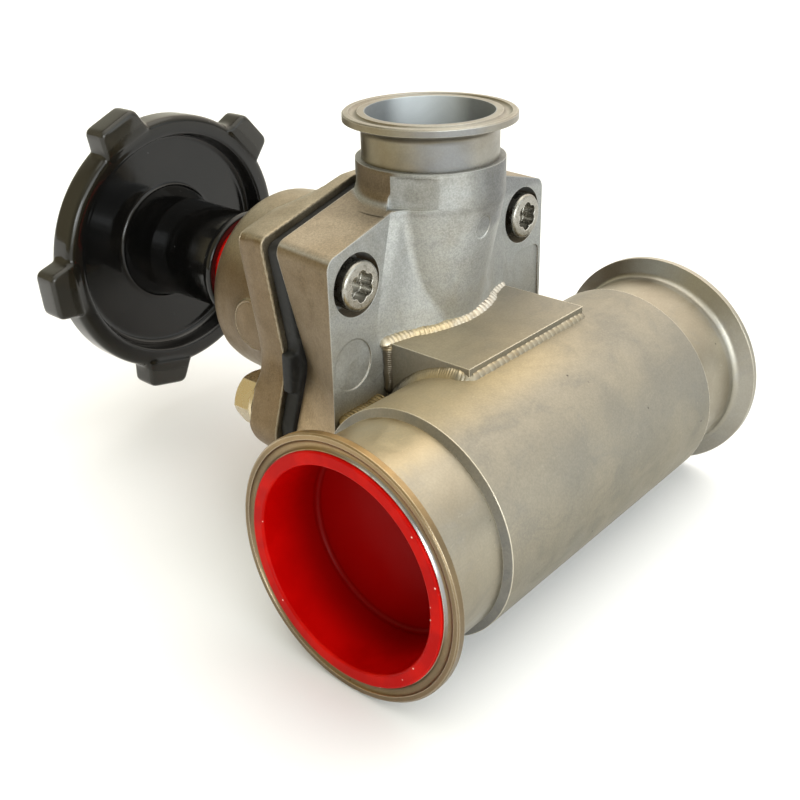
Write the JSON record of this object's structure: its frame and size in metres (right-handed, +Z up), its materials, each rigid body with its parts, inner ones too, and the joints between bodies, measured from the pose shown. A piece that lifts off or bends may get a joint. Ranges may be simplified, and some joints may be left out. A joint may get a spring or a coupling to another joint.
{
  "type": "shut-off valve",
  "caption": "Diaphragm shut-off valve on a clamp-ended run pipe, with an upright clamp port, a rising five-lug handwheel and a pull-out end plug.",
  "frame": {"origin": "on the axis of the run pipe, halfway along it, straight below the axis of the branch port", "axes": "+X along the run pipe towards its open end, +Y along the stem towards the handwheel, +Z up along the branch port"},
  "size_m": [0.2011, 0.2657, 0.1672],
  "materials": {
    "blasted_steel": "bead blasted, matt",
    "port_steel": "satin turned",
    "pipe_steel": "satin, lightly stained",
    "ferrule_steel": "satin turned",
    "bonnet_steel": "blasted, warm",
    "weld_steel": "rippled weld bead",
    "screw_steel": "bright",
    "inner_steel": "machined",
    "bronze": "machined",
    "black_plastic": "semi-gloss moulded",
    "red_ring": "moulded",
    "red_plug": "soft moulded",
    "black_rubber": "moulded"
  },
  "bodies": {
    "valve": {"body_weld": "weld_steel", "bonnet": "bonnet_steel", "diaphragm": "black_rubber", "flange_nut_left": "screw_steel", "flange_nut_right": "screw_steel", "flange_screw_left": "screw_steel", "flange_screw_right": "screw_steel", "flange_stud_left": "screw_steel", "flange_stud_right": "screw_steel", "flange_washer_left": "screw_steel", "flange_washer_right": "screw_steel", "pipe_weld": "weld_steel", "port_ferrule": "port_steel", "position_ring": "red_ring", "run_ferrule_far": "ferrule_steel", "run_ferrule_near": "ferrule_steel", "run_pipe": "pipe_steel", "saddle_block": "pipe_steel", "spindle_bush": "bronze", "spindle_o_ring": "black_rubber", "valve_body": "blasted_steel"},
    "stem_slide": {"compressor": "inner_steel", "compressor_pin_left": "inner_steel", "compressor_pin_right": "inner_steel", "thrust_washer": "bronze", "diaphragm_stud": "inner_steel"},
    "wheel": {"handwheel": "black_plastic", "hub_insert": "inner_steel", "hub_washer": "inner_steel", "hub_nut": "inner_steel", "hub_cap": "black_plastic", "spindle": "inner_steel"},
    "plug": {"end_plug": "red_plug"}
  },
  "joints": [
    {"name": "compressor_slide", "type": "slide", "parent": "valve", "child": "stem_slide", "axis": [0, -1, 0], "range_m": [0, 0.015], "deforming": ["diaphragm"]},
    {"name": "handwheel_turn", "type": "hinge", "parent": "stem_slide", "child": "wheel", "pos_m": [0, 0.18, 0.0385], "axis": [0, -1, 0], "range_deg": [0, 1350]},
    {"name": "plug_pull", "type": "slide", "parent": "valve", "child": "plug", "axis": [-1, 0, 0], "range_m": [0, 0.045]}
  ],
  "couplings": [
    {"joint": "compressor_slide", "follows": "handwheel_turn", "m_per_rad": 0.00063661}
  ]
}
